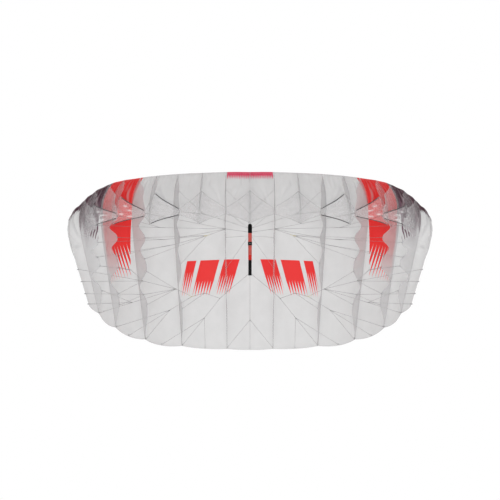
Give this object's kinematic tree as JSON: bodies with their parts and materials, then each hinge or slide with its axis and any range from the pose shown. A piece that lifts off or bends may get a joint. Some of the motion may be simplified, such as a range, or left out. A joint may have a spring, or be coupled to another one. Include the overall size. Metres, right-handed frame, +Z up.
{
  "type": "parawing",
  "caption": "Arched single-skin wing of light cloth with scalloped ribs, a fan of bridle lines and a short hand bar.",
  "frame": {"origin": "middle of the hand bar, on its axis", "axes": "+X to the right along the span, +Z up to the leading edge, +Y from the bar to the canopy; the flyer's side faces -Y"},
  "size_m": [2.4346, 1.6768, 1.3037],
  "materials": {
    "canopy_cloth": "thin coated ripstop, half see-through",
    "rib_cloth": "thin coated ripstop, half see-through",
    "line": "braided, matt",
    "bar_black": "satin moulded",
    "bar_red": "satin sleeve",
    "bar_deep_red": "satin sleeve",
    "bar_grip": "fine textured foam"
  },
  "bodies": {
    "root": {"canopy_cell_centre": "canopy_cloth", "nose_rib_centre": "rib_cloth", "diagonal_rib_centre": "rib_cloth", "canopy_cell_2_left": "canopy_cloth", "rib_1_left": "rib_cloth", "nose_rib_2_left": "rib_cloth", "diagonal_rib_2_left": "rib_cloth", "canopy_cell_3_left": "canopy_cloth", "rib_2_left": "rib_cloth", "nose_rib_3_left": "rib_cloth", "diagonal_rib_3_left": "rib_cloth", "canopy_cell_4_left": "canopy_cloth", "rib_3_left": "rib_cloth", "nose_rib_4_left": "rib_cloth", "diagonal_rib_4_left": "rib_cloth", "canopy_cell_5_left": "canopy_cloth", "rib_4_left": "rib_cloth", "nose_rib_5_left": "rib_cloth", "diagonal_rib_5_left": "rib_cloth", "canopy_tip_strip_left": "canopy_cloth", "rib_5_left": "rib_cloth", "canopy_cell_2_right": "canopy_cloth", "rib_1_right": "rib_cloth", "nose_rib_2_right": "rib_cloth", "diagonal_rib_2_right": "rib_cloth", "canopy_cell_3_right": "canopy_cloth", "rib_2_right": "rib_cloth", "nose_rib_3_right": "rib_cloth", "diagonal_rib_3_right": "rib_cloth", "canopy_cell_4_right": "canopy_cloth", "rib_3_right": "rib_cloth", "nose_rib_4_right": "rib_cloth", "diagonal_rib_4_right": "rib_cloth", "canopy_cell_5_right": "canopy_cloth", "rib_4_right": "rib_cloth", "nose_rib_5_right": "rib_cloth", "diagonal_rib_5_right": "rib_cloth", "canopy_tip_strip_right": "canopy_cloth", "rib_5_right": "rib_cloth", "bar_front_cap": "bar_black", "bar_upper_sleeve": "bar_red", "bar_ring": "bar_black", "bar_lower_sleeve": "bar_red", "bar_deep_red_band": "bar_deep_red", "bar_rear_grip": "bar_grip", "line_front_centre": "line", "line_rear_centre": "line", "line_front_inner_left": "line", "line_second_inner_left": "line", "line_front_outer_left": "line", "line_rear_outer_left": "line", "line_front_inner_right": "line", "line_second_inner_right": "line", "line_front_outer_right": "line", "line_rear_outer_right": "line"}
  },
  "joints": []
}
